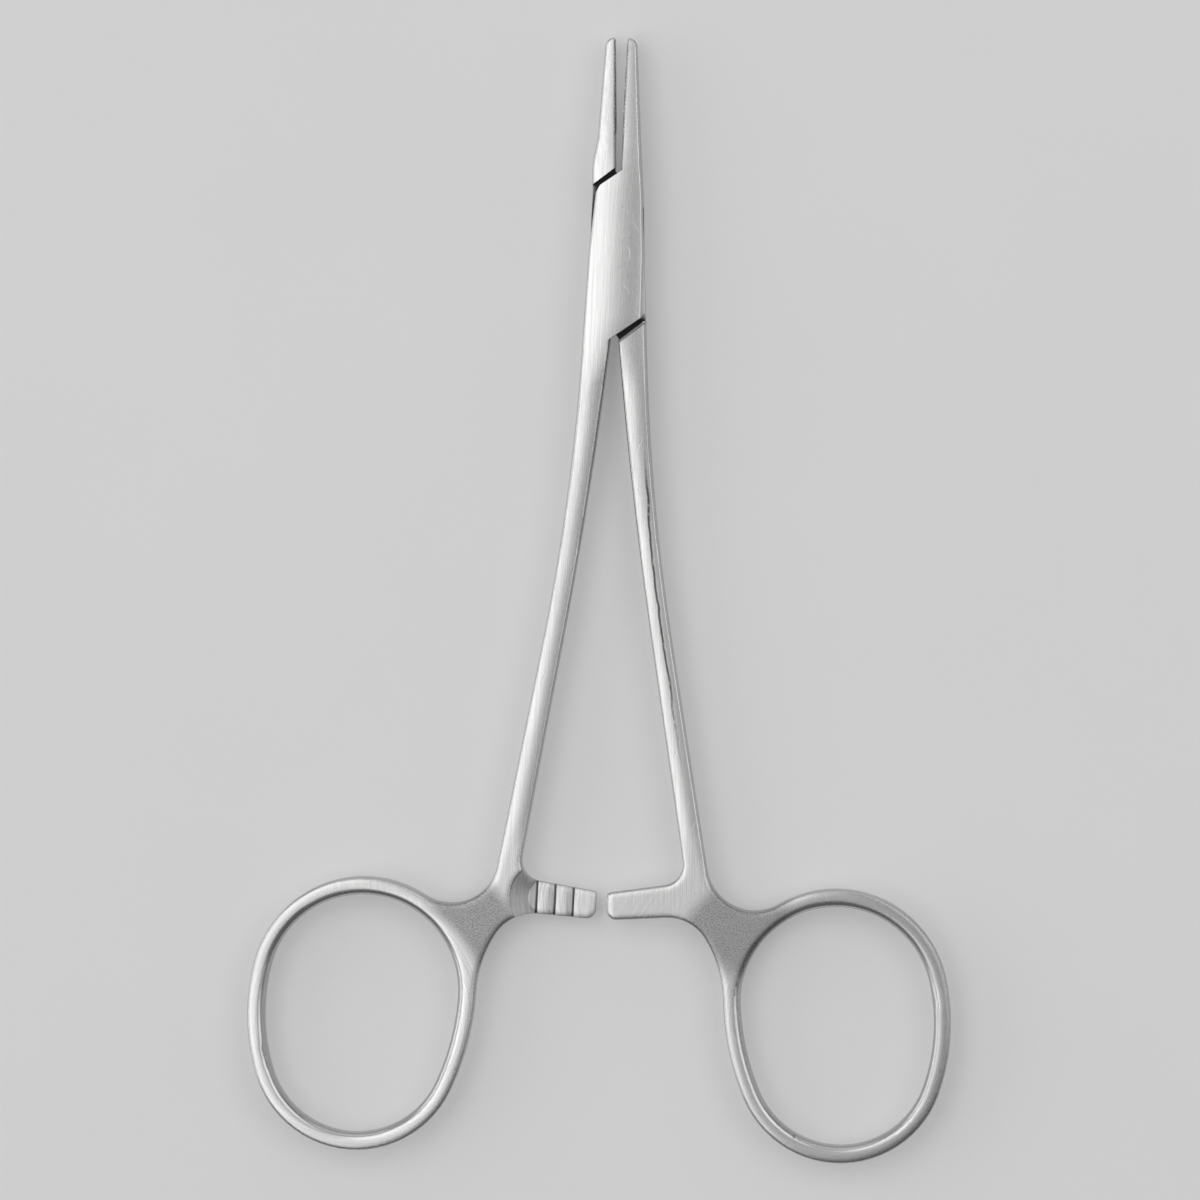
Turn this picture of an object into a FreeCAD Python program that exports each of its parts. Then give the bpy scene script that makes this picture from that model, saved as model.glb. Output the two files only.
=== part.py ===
import FreeCAD, Part
import math
import os
import Sketcher

# A small box-lock needle holder that lies flat: two steel halves on a riveted pin.
# Millimetres. X across, Y towards the jaw tips, Z up, origin under the pin on the surface it lies on.
# Each half is drawn as if the jaws were closed, with its own finger ring on the +X side (hand 1) or on
# the -X side (hand -1), and its body is then turned about the pin by half of the rest opening.

SIZES = {
    "rest_opening": (2.9, "degrees between the halves as it lies"),
    "lock_thick": (4.4, "thickness of the box lock"),
    "shank_thick": (3.0, "thickness of the shanks and rings"),
    "stock": (0.5, "height of the blank left above the finished lock"),
    "edge_round": (0.25, "rounding along the outlines"),
    "jaw_length": (23.0, "pin to jaw tip"),
    "jaw_face": (0.1, "each gripping face to the centre when closed, under its serrations"),
    "jaw_tip_half": (1.04, "jaw width at the tip"),
    "jaw_tip_thick": (2.0, "jaw thickness at the tip"),
    "jaw_tip_round": (1.0, "outer corner of the tip"),
    "jaw_taper_level": (9.6, "where the jaws start to thin"),
    "jaw_taper_blend": (40.0, "radius of the change into the jaws"),
    "jaw_bevel": (0.15, "bevel along the gripping faces"),
    "waist_half": (1.93, "jaw width at its waist"),
    "waist_level": (12.2, "where the jaws flare into the lock"),
    "waist_blend": (12.0, "radius of the waist"),
    "root_level": (9.6, "end of the flare of the tang half's jaw"),
    "root_blend": (6.0, "radius at the end of the flare"),
    "neck_half": (2.5, "half width at the jaw end of the lock"),
    "neck_level": (6.4, "jaw end of the lock's flanks"),
    "neck_blend": (12.0, "radius at that end"),
    "lock_half": (2.92, "half width of the lock at the pin"),
    "lock_blend": (50.0, "radius of the flanks at the pin"),
    "cheek_reach": (8.8, "cheek ends on the centre line"),
    "cheek_side": (6.62, "cheek ends at the flanks"),
    "cheek_facet": (0.45, "width of the cheek's cut corner"),
    "shoulder_gap": (0.45, "cheek ends to the tang half's shoulders, closed"),
    "shoulder_bevel": (0.18, "bevel on the shank's shoulder"),
    "slot_reach": (8.9, "slot ends on the centre line"),
    "slot_side": (4.6, "slot ends at the flanks"),
    "slot_gap": (0.25, "slot ends to the tang's free edges, closed"),
    "slot_thick": (2.0, "height of the slot"),
    "slide_gap": (0.05, "tang to each cheek"),
    "cut_reach": (4.0, "reach of the slot and tang cuts past the centre"),
    "cut_rise": (1.0, "room of the cuts past the cheek ends"),
    "pin_shaft": (2.0, "pin diameter"),
    "pin_head": (3.0, "diameter of its conical heads"),
    "pin_head_depth": (0.6, "depth of the heads"),
    "pin_gap": (0.03, "radial clearance of the pin in the tang"),
    "crotch_half": (0.22, "shank's inner edge at the lock"),
    "inner_bend_half": (1.72, "corner of the inner edge's bend"),
    "inner_bend_level": (27.3, "level of that corner"),
    "inner_bend": (470.0, "radius of the inner edge's bend"),
    "outer_bend_half": (3.45, "corner of the outer edge's bend"),
    "outer_bend_level": (25.9, "level of that corner"),
    "outer_bend": (240.0, "radius of the outer edge's bend"),
    "foot_half": (9.15, "outer edge at the foot of the shank"),
    "foot_level": (63.3, "level of the foot"),
    "taper_start": (9.8, "where the shanks start to thin"),
    "taper_end": (30.0, "where they reach their own thickness"),
    "taper_blend": (110.0, "radius of both changes"),
    "valley": (5.1, "radius between shank and ring"),
    "ring_bar": (1.8, "width of the ring's bar"),
    "ring_round": (0.7, "rounding of the ring's opening, where the finger goes"),
    "ring_top_x": (23.25, "ring opening: centre of its upper arc"),
    "ring_top_y": (79.7, "level of that centre"),
    "ring_top_radius": (10.2, "its radius"),
    "ring_end_x": (23.7, "centre of the lower arc"),
    "ring_end_y": (85.75, "level of that centre"),
    "ring_end_radius": (9.35, "its radius"),
    "ring_outer_radius": (20.7, "radius of the outer side"),
    "ring_inner_radius": (26.6, "radius of the side at the shanks"),
    "web_radius": (13.0, "long blend from the ring to the arm"),
    "arm_under_blend": (4.6, "radius under the arm"),
    "arm_under_x": (5.5, "a point of the arm's lower edge"),
    "arm_under_y": (70.65, "level of that point"),
    "arm_reach": (1.15, "how far the arms pass the centre, closed"),
    "arm_tip_top": (68.05, "level of the tip's upper corner"),
    "arm_tip_low": (70.95, "level of the tip's lower corner"),
    "arm_tip_round": (0.45, "radius of the upper corner"),
    "arm_low_round": (1.0, "radius of the lower corner"),
    "arm_root_x": (7.3, "corner of the arm's upper edge and the shank"),
    "arm_root_y": (66.95, "level of that corner"),
    "arm_root_blend": (2.3, "radius in that corner"),
    "arm_gap": (0.12, "height between the two arms"),
    "relief_x": (3.9, "centre of the round end of the arm's relief"),
    "relief_y": (68.9, "level of that centre"),
    "relief_radius": (2.2, "radius of that end at the arm's face"),
    "relief_lean": (52.0, "degrees that the relief's sides lean from upright"),
    "relief_reach": (4.0, "run of the cutter past the centre"),
    "tooth_pitch": (1.96, "ratchet teeth"),
    "tooth_first": (5.1, "steep face of the tooth nearest the shank"),
    "tooth_gullet": (0.85, "width of the gap before each tooth"),
    "tooth_depth": (0.4, "depth of that gap"),
}
TEETH = 3
RING_ARCS = ("ring_top_radius", "ring_outer_radius", "ring_end_radius", "ring_inner_radius")
FRAME_ROOM = 5.0


class Size:
    """A size of the sheet, or a sum or product of such sizes, with the text that the sheet knows it by."""

    def __init__(self, value, text):
        self.value = value
        self.text = text

    def joined(self, other, sign, value):
        return Size(value, "(" + self.text + " " + sign + " " + other.text + ")")

    def __add__(self, other):
        other = as_size(other)
        return self.joined(other, "+", self.value + other.value)

    def __sub__(self, other):
        other = as_size(other)
        return self.joined(other, "-", self.value - other.value)

    def __mul__(self, other):
        other = as_size(other)
        return self.joined(other, "*", self.value * other.value)

    def __truediv__(self, other):
        other = as_size(other)
        return self.joined(other, "/", self.value / other.value)

    def __neg__(self):
        return Size(-self.value, "(-" + self.text + ")")


def as_size(number):
    return number if isinstance(number, Size) else Size(float(number), str(number))


doc = FreeCAD.newDocument("NeedleHolder")
sheet = doc.addObject("Spreadsheet::Sheet", "Sizes")
sizes = {}
for row, (name, (number, meaning)) in enumerate(SIZES.items(), 1):
    sheet.set("A" + str(row), meaning)
    sheet.set("B" + str(row), str(number))
    sheet.setAlias("B" + str(row), name)
    sizes[name] = Size(number, "Sizes." + name)
doc.recompute()


def size(name):
    return sizes[name]


def vector(x, y):
    return FreeCAD.Vector(x, y, 0)


# Sketch geometry

ORIGIN_POINT = (-1, 1)
X_AXIS = -1
Y_AXIS = -2


def new_sketch(body, name, plane, height=None):
    """A sketch on one of the body's origin planes, or at a height above it."""
    sketch = body.newObject("Sketcher::SketchObject", name)
    planes = {feature.Role: feature for feature in body.Origin.OriginFeatures}
    sketch.AttachmentSupport = [(planes[plane], "")]
    sketch.MapMode = "FlatFace"
    if height is not None:
        sketch.setExpression(".AttachmentOffset.Base.z", height.text)
    return sketch


def bind(sketch, index, measure):
    sketch.setExpression("Constraints[" + str(index) + "]", measure.text)


def fix_point(sketch, geometry, position, x, y):
    """Hold a point at sizes of the sheet."""
    for kind, measure, axis in (("DistanceX", x, Y_AXIS), ("DistanceY", y, X_AXIS)):
        if abs(measure.value) < 1e-9:
            sketch.addConstraint(Sketcher.Constraint("PointOnObject", geometry, position, axis))
        else:
            index = sketch.addConstraint(
                Sketcher.Constraint(kind, *ORIGIN_POINT, geometry, position, measure.value))
            bind(sketch, index, measure)


def fix_radius(sketch, geometry, radius):
    bind(sketch, sketch.addConstraint(Sketcher.Constraint("Radius", geometry, radius.value)), radius)


def mark_corner(sketch, x, y, *lines):
    """A construction point at a corner, on the lines that would meet there."""
    mark = sketch.addGeometry(Part.Point(vector(x.value, y.value)), True)
    fix_point(sketch, mark, 1, x, y)
    for line in lines:
        sketch.addConstraint(Sketcher.Constraint("PointOnObject", mark, 1, line))


class Piece:
    """A line or an arc of a loop, with the sketch's numbers for its two ends."""

    def __init__(self, index, first, last):
        self.index = index
        self.first = first
        self.last = last


def draw_line(sketch, start, end):
    return Piece(sketch.addGeometry(Part.LineSegment(start, end), False), 1, 2)


def draw_arc(sketch, centre, start, end, turn):
    """An arc about a centre, counter-clockwise for a turn of 1 and clockwise for -1."""
    low, high = (start, end) if turn > 0 else (end, start)
    first = math.atan2(low.y - centre.y, low.x - centre.x)
    last = math.atan2(high.y - centre.y, high.x - centre.x)
    circle = Part.Circle(centre, FreeCAD.Vector(0, 0, 1), (low - centre).Length)
    index = sketch.addGeometry(Part.ArcOfCircle(circle, first, last), False)
    return Piece(index, 1, 2) if turn > 0 else Piece(index, 2, 1)


def join(sketch, before, after, kind="Tangent"):
    sketch.addConstraint(Sketcher.Constraint(kind, before.index, before.last, after.index, after.first))


class Corner:
    """A corner of an outline: its place, and the radius that rounds it, if any."""

    def __init__(self, x, y, radius=None):
        self.x = as_size(x)
        self.y = as_size(y)
        self.radius = radius

    def point(self):
        return vector(self.x.value, self.y.value)


def trim(corner, before, after):
    """Where a rounded corner's arc starts and ends, its centre and its turn."""
    point = corner.point()
    arriving = (point - before).normalize()
    leaving = (after - point).normalize()
    turn = math.copysign(1, arriving.x * leaving.y - arriving.y * leaving.x)
    reach = corner.radius.value * math.tan(arriving.getAngle(leaving) / 2)
    start = point - arriving * reach
    side = vector(-arriving.y, arriving.x) * turn
    return start, point + leaving * reach, start + side * corner.radius.value, turn


def draw_corners(sketch, corners, before, after):
    """The lines and arcs of a run of corners that starts after one point and ends before another."""
    pieces = []
    points = [before] + [corner.point() for corner in corners] + [after]
    pen = before
    for number, corner in enumerate(corners, 1):
        if corner.radius is None:
            pieces.append(draw_line(sketch, pen, points[number]))
            pen = points[number]
        else:
            start, end, centre, turn = trim(corner, points[number - 1], points[number + 1])
            pieces.append(draw_line(sketch, pen, start))
            pieces.append(draw_arc(sketch, centre, start, end, turn))
            pen = end
    pieces.append(draw_line(sketch, pen, after))
    return pieces


def bind_corners(sketch, corners, pieces):
    """Hold a drawn run of corners at its sizes."""
    place = 0
    for corner in corners:
        before = pieces[place]
        after = pieces[place + 1]
        if corner.radius is None:
            join(sketch, before, after, "Coincident")
            fix_point(sketch, before.index, before.last, corner.x, corner.y)
            place += 1
        else:
            line = pieces[place + 2]
            join(sketch, before, after)
            join(sketch, after, line)
            fix_radius(sketch, after.index, corner.radius)
            mark_corner(sketch, corner.x, corner.y, before.index, line.index)
            place += 2


def draw_polygon(sketch, corners):
    """A closed outline of straight lines; its first corner is sharp, and others may be rounded."""
    home = corners[0]
    pieces = draw_corners(sketch, corners[1:], home.point(), home.point())
    bind_corners(sketch, corners[1:], pieces)
    join(sketch, pieces[-1], pieces[0], "Coincident")
    fix_point(sketch, pieces[0].index, pieces[0].first, home.x, home.y)


def circles_meet(first, first_radius, second, second_radius, side):
    """Where two circles cross, on the left (1) or right (-1) of the way from the first to the second."""
    way = second - first
    along = (way.Length ** 2 + first_radius ** 2 - second_radius ** 2) / (2 * way.Length)
    across = math.sqrt(first_radius ** 2 - along ** 2)
    way.normalize()
    return first + way * along + vector(-way.y, way.x) * (across * side)


def line_meets_circle(point, way, centre, radius, sign):
    """Where a line crosses a circle, at the far (1) or near (-1) crossing along its way."""
    middle = (centre - point).dot(way)
    half = math.sqrt(radius ** 2 - (point + way * middle - centre).Length ** 2)
    return point + way * (middle + sign * half)


def between(first, second, distance):
    """The point at a distance from the first towards the second."""
    return first + (second - first).normalize() * distance


# Shapes that both halves share, in own coordinates: x towards the half's own ring, y towards the tips

flank_slope = (size("outer_bend_half") - size("lock_half")) / size("outer_bend_level")
neck_slope = (size("lock_half") - size("neck_half")) / size("neck_level")
cheek_slope = (size("cheek_reach") - size("cheek_side")) / size("lock_half")
slot_slope = (size("slot_reach") - size("slot_side")) / size("lock_half")
tang_reach = size("slot_reach") - size("slot_gap")
shoulder_reach = size("cheek_reach") + size("shoulder_gap")
tang_thick = size("slot_thick") - size("slide_gap") * 2


def jaw_tip(hand):
    return [
        Corner(-size("jaw_face") * hand, size("jaw_length")),
        Corner(-size("jaw_tip_half") * hand, size("jaw_length"), size("jaw_tip_round")),
        Corner(-size("waist_half") * hand, size("waist_level"), size("waist_blend")),
    ]


def shank_outer(hand):
    return [Corner(size("outer_bend_half") * hand, -size("outer_bend_level"), size("outer_bend"))]


def arm_and_inner_shank(hand, crotch_level):
    return [
        Corner(-size("arm_reach") * hand, -size("arm_tip_low"), size("arm_low_round")),
        Corner(-size("arm_reach") * hand, -size("arm_tip_top"), size("arm_tip_round")),
        Corner(size("arm_root_x") * hand, -size("arm_root_y"), size("arm_root_blend")),
        Corner(size("inner_bend_half") * hand, -size("inner_bend_level"), size("inner_bend")),
        Corner(size("crotch_half") * hand, crotch_level),
    ]


def box_lock_edges(hand):
    """The box half beside the jaw and beside the ring, with the diagonal ends of its cheeks."""
    low = (size("cheek_reach") - cheek_slope * size("lock_half")) / (cheek_slope * flank_slope + 1)
    low_half = size("lock_half") + flank_slope * low
    facet = size("neck_half") - size("cheek_facet")
    crotch = -size("cheek_reach") - cheek_slope * size("crotch_half")
    jaw_side = [
        Corner(-size("neck_half") * hand, size("neck_level"), size("neck_blend")),
        Corner(-size("lock_half") * hand, 0, size("lock_blend")),
        Corner(-low_half * hand, -low),
    ]
    ring_side = [
        Corner(-size("jaw_face") * hand, size("cheek_reach") + cheek_slope * size("jaw_face")),
        Corner(facet * hand, size("cheek_reach") - cheek_slope * facet),
        Corner(size("neck_half") * hand, size("neck_level")),
        Corner(size("lock_half") * hand, 0, size("lock_blend")),
    ]
    return jaw_side, ring_side, crotch


def tang_lock_edges(hand):
    """The tang half beside the jaw and beside the ring, with the free edges of its tang."""
    low = (tang_reach - slot_slope * size("lock_half")) / (slot_slope * flank_slope + 1)
    low_half = size("lock_half") + flank_slope * low
    high_half = (size("lock_half") - neck_slope * tang_reach) / (-(neck_slope * slot_slope) + 1)
    crotch = -tang_reach - slot_slope * size("crotch_half")
    jaw_side = [
        Corner(-size("neck_half") * hand, size("root_level"), size("root_blend")),
        Corner(-size("neck_half") * hand, size("neck_level"), size("neck_blend")),
        Corner(-size("lock_half") * hand, 0, size("lock_blend")),
        Corner(-low_half * hand, -low),
    ]
    ring_side = [
        Corner(-size("jaw_face") * hand, tang_reach + slot_slope * size("jaw_face")),
        Corner(high_half * hand, tang_reach - slot_slope * high_half),
        Corner(size("lock_half") * hand, 0, size("lock_blend")),
    ]
    return jaw_side, ring_side, crotch


def ring_centres(hand):
    """The centres of the opening's four arcs: upper, outer side, lower and the side at the shanks."""
    top = vector(size("ring_top_x").value * hand, -size("ring_top_y").value)
    end = vector(size("ring_end_x").value * hand, -size("ring_end_y").value)
    sides = []
    for name, side in (("ring_outer_radius", hand), ("ring_inner_radius", -hand)):
        reach = size(name).value
        sides.append(circles_meet(
            top, reach - size("ring_top_radius").value, end, reach - size("ring_end_radius").value, -side))
    return top, sides[0], end, sides[1]


def draw_opening(sketch, hand):
    """The finger ring's opening: four arcs that run into each other."""
    top, outer, end, inner = ring_centres(hand)
    top_radius = size("ring_top_radius").value
    end_radius = size("ring_end_radius").value
    joints = [
        between(outer, top, size("ring_outer_radius").value),
        between(outer, end, size("ring_outer_radius").value),
        between(inner, end, size("ring_inner_radius").value),
        between(inner, top, size("ring_inner_radius").value),
    ]
    arcs = [
        draw_arc(sketch, top, joints[3], joints[0], -hand),
        draw_arc(sketch, outer, joints[0], joints[1], -hand),
        draw_arc(sketch, end, joints[1], joints[2], -hand),
        draw_arc(sketch, inner, joints[2], joints[3], -hand),
    ]
    for number, name in enumerate(RING_ARCS):
        join(sketch, arcs[number - 1], arcs[number])
        fix_radius(sketch, arcs[number].index, size(name))
    fix_point(sketch, arcs[0].index, 3, size("ring_top_x") * hand, -size("ring_top_y"))
    fix_point(sketch, arcs[2].index, 3, size("ring_end_x") * hand, -size("ring_end_y"))
    return arcs


def draw_bow(sketch, hand, shank, arm):
    """The ring's outer edge, from the shank's outer line round to the arm's lower line."""
    top, outer, end, inner = ring_centres(hand)
    bar = size("ring_bar").value
    rims = {name: size(name).value + bar for name in RING_ARCS}
    # the valley between the shank and the ring
    start, way = shank
    valley = size("valley").value
    aside = vector(-way.y, way.x) * hand
    centre = line_meets_circle(start + aside * valley, way, top, rims["ring_top_radius"] + valley, -1)
    valley_start = centre - aside * valley
    valley_end = between(top, centre, rims["ring_top_radius"])
    # the long blend beside the ring, and the rounder one under the arm
    web = size("web_radius").value
    web_level = top.y
    reach = rims["ring_inner_radius"] + web
    web_centre = vector(inner.x - hand * math.sqrt(reach ** 2 - (inner.y - web_level) ** 2), web_level)
    side_end = between(web_centre, inner, web)
    under = size("arm_under_blend").value
    point, arm_way = arm
    below = vector(-arm_way.y, arm_way.x) * hand
    under_centre = line_meets_circle(point + below * under, arm_way, web_centre, web - under, -1)
    under_end = under_centre - below * under
    web_end = between(web_centre, under_centre, web)
    joints = [
        valley_end,
        between(outer, top, rims["ring_outer_radius"]),
        between(outer, end, rims["ring_outer_radius"]),
        between(inner, end, rims["ring_inner_radius"]),
        side_end,
    ]
    pieces = [
        draw_arc(sketch, centre, valley_start, valley_end, hand),
        draw_arc(sketch, top, joints[0], joints[1], -hand),
        draw_arc(sketch, outer, joints[1], joints[2], -hand),
        draw_arc(sketch, end, joints[2], joints[3], -hand),
        draw_arc(sketch, inner, joints[3], joints[4], -hand),
        draw_arc(sketch, web_centre, side_end, web_end, hand),
        draw_arc(sketch, under_centre, web_end, under_end, hand),
    ]
    return pieces, valley_start, under_end


def bind_bow(sketch, pieces, opening):
    """Hold the ring's outer edge a bar's width outside its opening."""
    valley, top, outer, end, inner, web, under = pieces
    for before, after in zip(pieces, pieces[1:]):
        join(sketch, before, after)
    fix_radius(sketch, valley.index, size("valley"))
    for piece, name in zip((top, outer, end, inner), RING_ARCS):
        fix_radius(sketch, piece.index, size(name) + size("ring_bar"))
    sketch.addConstraint(Sketcher.Constraint("Coincident", top.index, 3, opening[0].index, 3))
    sketch.addConstraint(Sketcher.Constraint("Coincident", end.index, 3, opening[2].index, 3))
    sketch.addConstraint(Sketcher.Constraint("Horizontal", inner.index, 3, opening[3].index, 3))
    fix_radius(sketch, web.index, size("web_radius"))
    sketch.addConstraint(Sketcher.Constraint("Horizontal", web.index, 3, opening[0].index, 3))
    fix_radius(sketch, under.index, size("arm_under_blend"))


def draw_blank(sketch, hand, jaw_side, ring_side, crotch_level):
    """The outline of one half, seen from above, and the opening of its ring."""
    opening = draw_opening(sketch, hand)
    foot_x = size("foot_half") * hand
    foot_y = -size("foot_level")
    under_x = size("arm_under_x") * hand
    under_y = -size("arm_under_y")
    upper = ring_side + shank_outer(hand)
    lower = arm_and_inner_shank(hand, crotch_level)
    foot = vector(foot_x.value, foot_y.value)
    arm_point = vector(under_x.value, under_y.value)
    shank_way = (foot - upper[-1].point()).normalize()
    arm_way = (lower[0].point() - arm_point).normalize()
    bow, bow_start, bow_end = draw_bow(sketch, hand, (foot, shank_way), (arm_point, arm_way))
    jaw = jaw_tip(hand) + jaw_side
    # from the crotch of the half down its shank to the ring, and from the arm back up to the lock
    outer_run = draw_corners(sketch, upper[1:], upper[0].point(), bow_start)
    inner_run = draw_corners(sketch, lower, bow_end, jaw[-1].point())
    jaw_run = draw_corners(sketch, list(reversed(jaw[:-1])), jaw[-1].point(), upper[0].point())
    bind_corners(sketch, upper[1:], outer_run)
    bind_corners(sketch, lower, inner_run)
    bind_corners(sketch, list(reversed(jaw[:-1])), jaw_run)
    for before, after, corner in (
            (inner_run[-1], jaw_run[0], jaw[-1]), (jaw_run[-1], outer_run[0], upper[0])):
        join(sketch, before, after, "Coincident")
        fix_point(sketch, before.index, before.last, corner.x, corner.y)
    join(sketch, outer_run[-1], bow[0])
    join(sketch, bow[-1], inner_run[0])
    bind_bow(sketch, bow, opening)
    mark_corner(sketch, foot_x, foot_y, outer_run[-1].index)
    mark_corner(sketch, under_x, under_y, inner_run[0].index)


def side_shape():
    """One half seen from the side: x towards the tips, y up, from the middle of its thickness."""
    lock = size("lock_thick") / 2
    shank = size("shank_thick") / 2
    tip = size("jaw_tip_thick") / 2
    slope = (lock - tip) / (size("jaw_length") - size("jaw_taper_level"))
    past = size("jaw_length") + size("stock")
    past_tip = tip - slope * size("stock")
    far = -(size("ring_end_y") + size("ring_end_radius") + size("ring_bar") + size("stock"))
    above = [
        Corner(-size("taper_end"), shank, size("taper_blend")),
        Corner(-size("taper_start"), lock, size("taper_blend")),
        Corner(size("jaw_taper_level"), lock, size("jaw_taper_blend")),
        Corner(past, past_tip),
    ]
    below = [Corner(corner.x, -corner.y, corner.radius) for corner in reversed(above)]
    return [Corner(far, shank)] + above + below + [Corner(far, -shank)]


def frame_round(shape):
    """A plain frame well outside a side shape."""
    left = min(corner.x.value for corner in shape) - FRAME_ROOM
    right = max(corner.x.value for corner in shape) + FRAME_ROOM
    room = size("lock_thick") + size("stock") * 2
    return [Corner(left, -room), Corner(right, -room), Corner(right, room), Corner(left, room)]


# Features

def pad(body, sketch, name, length):
    feature = body.newObject("PartDesign::Pad", name)
    feature.Profile = sketch
    feature.Midplane = True
    feature.setExpression("Length", length.text)
    doc.recompute()
    return feature


def pocket(body, sketch, name, length=None, up=None, lean=None):
    """Cut a sketch out: both ways for a length, or all the way up or down, with sides that may lean out."""
    before = body.Tip.Shape.Volume
    feature = body.newObject("PartDesign::Pocket", name)
    feature.Profile = sketch
    if up is None:
        feature.Midplane = True
        if length is None:
            feature.Type = "ThroughAll"
        else:
            feature.setExpression("Length", length.text)
    else:
        feature.Reversed = up
        feature.setExpression("Length", (size("lock_thick") + size("stock")).text)
        if lean is not None:
            feature.setExpression("TaperAngle", lean.text)
    doc.recompute()
    if not body.Tip.Shape.Volume < before:
        raise ValueError(name + " cuts nothing")
    return feature


def flat_shape(body, name, plane, corners, height=None):
    sketch = new_sketch(body, name, plane, height)
    draw_polygon(sketch, corners)
    return sketch


def outline_edges(shape, keep):
    """The numbers of the edges between a flat or gently sloping face and a side wall that keep accepts."""
    chosen = []
    for number, edge in enumerate(shape.Edges, 1):
        faces = shape.ancestorsOfType(edge, Part.Face)
        if len(faces) != 2:
            continue
        middle = edge.valueAt((edge.FirstParameter + edge.LastParameter) / 2)
        uprights = []
        for face in faces:
            u, v = face.Surface.parameter(middle)
            uprights.append(abs(face.normalAt(u, v).z))
        if min(uprights) < 0.1 and max(uprights) > 0.7 and keep(edge, middle):
            chosen.append("Edge" + str(number))
    return chosen


def dress(body, kind, name, measure, keep):
    """Round or bevel the outline edges that keep accepts."""
    base = body.Tip
    edges = outline_edges(base.Shape, keep)
    feature = body.newObject("PartDesign::" + kind, name)
    feature.Base = (base, edges)
    feature.setExpression("Radius" if kind == "Fillet" else "Size", measure.text)
    doc.recompute()
    return feature


def beside(line_start, line_end, edge):
    """Whether both ends of an edge lie over a line, seen from above."""
    way = (line_end - line_start).normalize()
    gaps = []
    for vertex in edge.Vertexes:
        step = vector(vertex.Point.x, vertex.Point.y) - line_start
        gaps.append(abs(step.x * way.y - step.y * way.x))
    return max(gaps) < 0.01


def on_opening(hand, middle):
    """Whether a point lies over the edge of the ring's opening, seen from above."""
    gaps = []
    for centre, name in zip(ring_centres(hand), RING_ARCS):
        gaps.append(abs((vector(middle.x, middle.y) - centre).Length - size(name).value))
    return min(gaps) < 0.01


def pin_outline(sketch):
    """Half of the rivet's section: x out from its axis, y along it."""
    end = size("lock_thick") / 2
    shaft = size("pin_shaft") / 2
    head = size("pin_head") / 2
    neck = end - size("pin_head_depth")
    draw_polygon(sketch, [
        Corner(0, -end), Corner(head, -end), Corner(shaft, -neck),
        Corner(shaft, neck), Corner(head, end), Corner(0, end),
    ])


def turn_profile(body, kind, name, sketch):
    feature = body.newObject("PartDesign::" + kind, name)
    feature.Profile = sketch
    feature.ReferenceAxis = (sketch, ["V_Axis"])
    feature.Angle = 360
    doc.recompute()
    return feature


def new_body(name, quarter_turn):
    """A body at mid-thickness over its rest plane, turned about the pin by part of the opening."""
    body = doc.addObject("PartDesign::Body", name)
    body.Label = name
    body.Placement = FreeCAD.Placement(
        FreeCAD.Vector(0, 0, size("lock_thick").value / 2), FreeCAD.Rotation(FreeCAD.Vector(0, 0, 1), 0))
    body.setExpression(".Placement.Base.z", (size("lock_thick") / 2).text)
    if quarter_turn:
        turned = size("rest_opening") * quarter_turn / 2
        body.Placement.Rotation = FreeCAD.Rotation(FreeCAD.Vector(0, 0, 1), turned.value)
        body.setExpression(".Placement.Rotation.Angle", turned.text)
    return body


def half_blank(name, hand, edges):
    """One half before its lock and arm are cut: its outline at the thickness that each stretch has."""
    body = new_body(name, hand)
    jaw_side, ring_side, crotch_level = edges(hand)
    plan = new_sketch(body, name + "_plan", "XY_Plane")
    draw_blank(plan, hand, jaw_side, ring_side, crotch_level)
    pad(body, plan, name + "_blank", size("lock_thick") + size("stock") * 2)
    side = new_sketch(body, name + "_side", "YZ_Plane")
    shape = side_shape()
    draw_polygon(side, frame_round(shape))
    draw_polygon(side, shape)
    pocket(body, side, name + "_thinned")
    sharp = [(corner.point(), other.point()) for corner, other in zip(ring_side, ring_side[1:3])]
    sharp.append((jaw_tip(hand)[0].point(), ring_side[0].point()))
    crotch = vector(size("crotch_half").value * hand, crotch_level.value)
    sharp.append((jaw_side[-1].point(), crotch))

    def keep(edge, middle):
        return not on_opening(hand, middle) and not any(beside(start, end, edge) for start, end in sharp)

    dress(body, "Fillet", name + "_rounding", size("edge_round"), keep)
    dress(body, "Fillet", name + "_ring_rounding", size("ring_round"),
          lambda edge, middle: on_opening(hand, middle))
    face_start, face_end = sharp[-2]
    dress(body, "Chamfer", name + "_jaw_bevel", size("jaw_bevel"),
          lambda edge, middle: beside(face_start, face_end, edge))
    return body


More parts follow.
